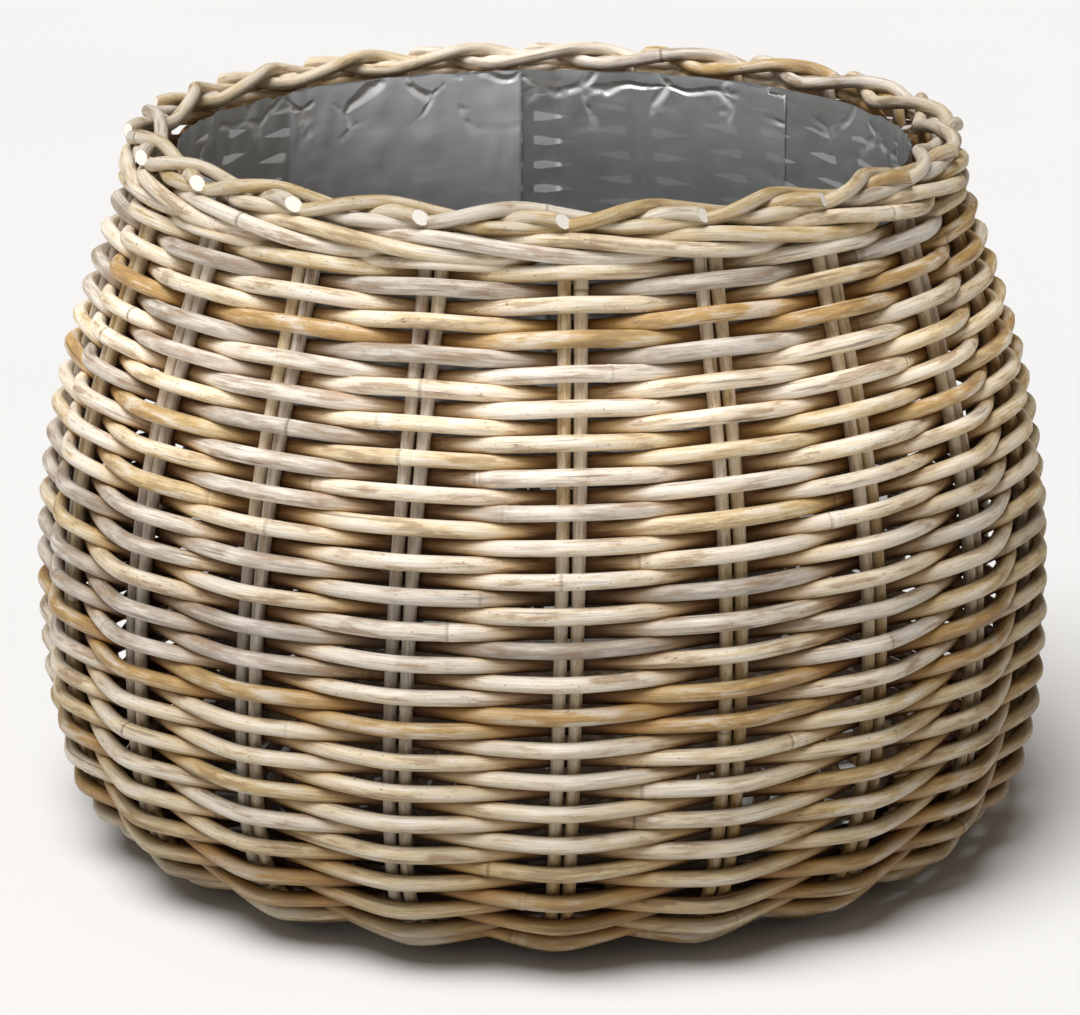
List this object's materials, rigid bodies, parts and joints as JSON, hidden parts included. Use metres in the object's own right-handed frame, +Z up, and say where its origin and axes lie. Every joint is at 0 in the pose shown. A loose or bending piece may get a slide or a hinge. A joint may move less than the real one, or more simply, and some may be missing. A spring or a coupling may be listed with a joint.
{
  "type": "planter basket",
  "caption": "Round bellied woven rattan planter basket with paired upright stakes, plain randed sides, waled foot and rim, a rolled border and a clear film liner.",
  "frame": {"origin": "on the floor, under the middle of the base", "axes": "+Z up through the middle of the mouth; -Y towards the side that the picture shows"},
  "size_m": [0.4991, 0.4991, 0.35],
  "materials": {
    "weaver_cane": "weathered bare rattan",
    "stake_cane": "weathered bare rattan",
    "wale_cane": "weathered bare rattan",
    "base_cane": "bare rattan",
    "clear_film": "clear glossy film, slightly milky"
  },
  "bodies": {
    "root": {"stake_01": "stake_cane", "stake_02": "stake_cane", "stake_03": "stake_cane", "stake_04": "stake_cane", "stake_05": "stake_cane", "stake_06": "stake_cane", "stake_07": "stake_cane", "stake_08": "stake_cane", "stake_09": "stake_cane", "stake_10": "stake_cane", "stake_11": "stake_cane", "stake_12": "stake_cane", "stake_13": "stake_cane", "stake_14": "stake_cane", "stake_15": "stake_cane", "stake_16": "stake_cane", "stake_17": "stake_cane", "stake_18": "stake_cane", "stake_19": "stake_cane", "stake_20": "stake_cane", "bye_stake_01": "stake_cane", "bye_stake_02": "stake_cane", "bye_stake_03": "stake_cane", "bye_stake_04": "stake_cane", "bye_stake_05": "stake_cane", "bye_stake_06": "stake_cane", "bye_stake_07": "stake_cane", "bye_stake_08": "stake_cane", "bye_stake_09": "stake_cane", "bye_stake_10": "stake_cane", "bye_stake_11": "stake_cane", "bye_stake_12": "stake_cane", "bye_stake_13": "stake_cane", "bye_stake_14": "stake_cane", "bye_stake_15": "stake_cane", "bye_stake_16": "stake_cane", "bye_stake_17": "stake_cane", "bye_stake_18": "stake_cane", "bye_stake_19": "stake_cane", "bye_stake_20": "stake_cane", "weaver_a1": "weaver_cane", "weaver_a2": "weaver_cane", "weaver_a3": "weaver_cane", "weaver_a4": "weaver_cane", "weaver_a5": "weaver_cane", "weaver_b1": "weaver_cane", "weaver_b2": "weaver_cane", "weaver_b3": "weaver_cane", "weaver_b4": "weaver_cane", "weaver_b5": "weaver_cane", "foot_wale_rod_1": "wale_cane", "foot_wale_rod_2": "wale_cane", "foot_wale_rod_3": "wale_cane", "top_wale_rod_1": "wale_cane", "top_wale_rod_2": "wale_cane", "top_wale_rod_3": "wale_cane", "base_slath": "base_cane", "base_weaver_a": "base_cane", "base_weaver_b": "base_cane", "film_liner": "clear_film"}
  },
  "joints": []
}
